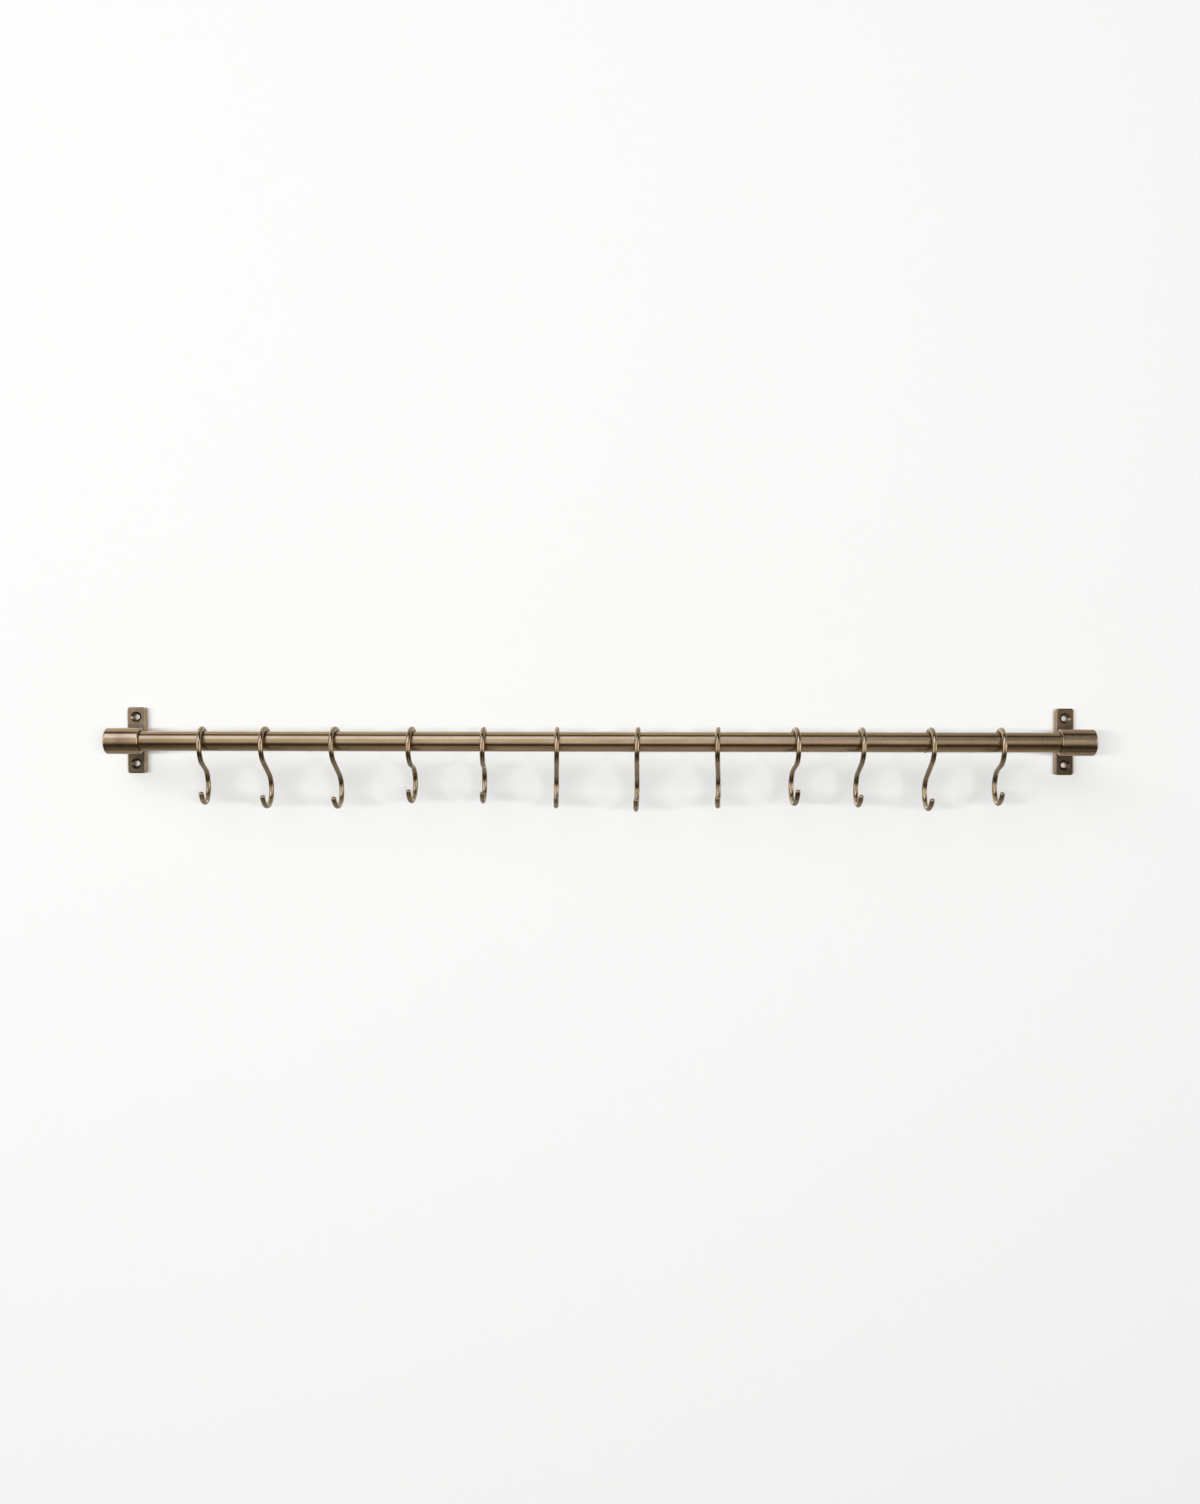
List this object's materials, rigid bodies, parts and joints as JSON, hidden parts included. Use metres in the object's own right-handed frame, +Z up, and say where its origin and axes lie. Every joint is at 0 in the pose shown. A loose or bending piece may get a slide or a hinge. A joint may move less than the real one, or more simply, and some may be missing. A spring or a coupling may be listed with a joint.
{
  "type": "pot rack",
  "caption": "Wall-mounted pot rack: a round rail held in two closed cup brackets on strap plates, with S hooks that swing on it.",
  "frame": {"origin": "on the wall, at the centre of the four wall-screw holes", "axes": "+X along the rail to the right as seen from the room, -Y out of the wall into the room, +Z up"},
  "size_m": [0.9478, 0.0635, 0.0997],
  "materials": {
    "rail_metal": "antique bronze, satin",
    "bracket_metal": "antique bronze, satin",
    "hook_metal": "antique bronze, satin"
  },
  "bodies": {
    "rack": {"rail": "rail_metal", "left_bracket": "bracket_metal", "right_bracket": "bracket_metal"},
    "hook_1": {"hook_1": "hook_metal"},
    "hook_2": {"hook_2": "hook_metal"},
    "hook_3": {"hook_3": "hook_metal"},
    "hook_4": {"hook_4": "hook_metal"},
    "hook_5": {"hook_5": "hook_metal"},
    "hook_6": {"hook_6": "hook_metal"},
    "hook_7": {"hook_7": "hook_metal"},
    "hook_8": {"hook_8": "hook_metal"},
    "hook_9": {"hook_9": "hook_metal"},
    "hook_10": {"hook_10": "hook_metal"},
    "hook_11": {"hook_11": "hook_metal"},
    "hook_12": {"hook_12": "hook_metal"}
  },
  "joints": [
    {"name": "hook_1_swing", "type": "hinge", "parent": "rack", "child": "hook_1", "pos_m": [-0.381, -0.0435, 0], "axis": [-1, 0, 0], "range_deg": [-36, 60]},
    {"name": "hook_2_swing", "type": "hinge", "parent": "rack", "child": "hook_2", "pos_m": [-0.3205, -0.0435, 0], "axis": [-1, 0, 0], "range_deg": [-34, 60]},
    {"name": "hook_3_swing", "type": "hinge", "parent": "rack", "child": "hook_3", "pos_m": [-0.253, -0.0435, 0], "axis": [-1, 0, 0], "range_deg": [-34, 60]},
    {"name": "hook_4_swing", "type": "hinge", "parent": "rack", "child": "hook_4", "pos_m": [-0.1795, -0.0435, 0], "axis": [-1, 0, 0], "range_deg": [-36, 60]},
    {"name": "hook_5_swing", "type": "hinge", "parent": "rack", "child": "hook_5", "pos_m": [-0.1105, -0.0435, 0], "axis": [-1, 0, 0], "range_deg": [-37, 60]},
    {"name": "hook_6_swing", "type": "hinge", "parent": "rack", "child": "hook_6", "pos_m": [-0.04, -0.0435, 0], "axis": [-1, 0, 0], "range_deg": [-35, 60]},
    {"name": "hook_7_swing", "type": "hinge", "parent": "rack", "child": "hook_7", "pos_m": [0.0375, -0.0435, 0], "axis": [-1, 0, 0], "range_deg": [-32, 60]},
    {"name": "hook_8_swing", "type": "hinge", "parent": "rack", "child": "hook_8", "pos_m": [0.1145, -0.0435, 0], "axis": [-1, 0, 0], "range_deg": [-35, 60]},
    {"name": "hook_9_swing", "type": "hinge", "parent": "rack", "child": "hook_9", "pos_m": [0.1885, -0.0435, 0], "axis": [-1, 0, 0], "range_deg": [-35, 60]},
    {"name": "hook_10_swing", "type": "hinge", "parent": "rack", "child": "hook_10", "pos_m": [0.2515, -0.0435, 0], "axis": [-1, 0, 0], "range_deg": [-35, 60]},
    {"name": "hook_11_swing", "type": "hinge", "parent": "rack", "child": "hook_11", "pos_m": [0.3175, -0.0435, 0], "axis": [-1, 0, 0], "range_deg": [-33, 60]},
    {"name": "hook_12_swing", "type": "hinge", "parent": "rack", "child": "hook_12", "pos_m": [0.3845, -0.0435, 0], "axis": [-1, 0, 0], "range_deg": [-36, 60]}
  ]
}
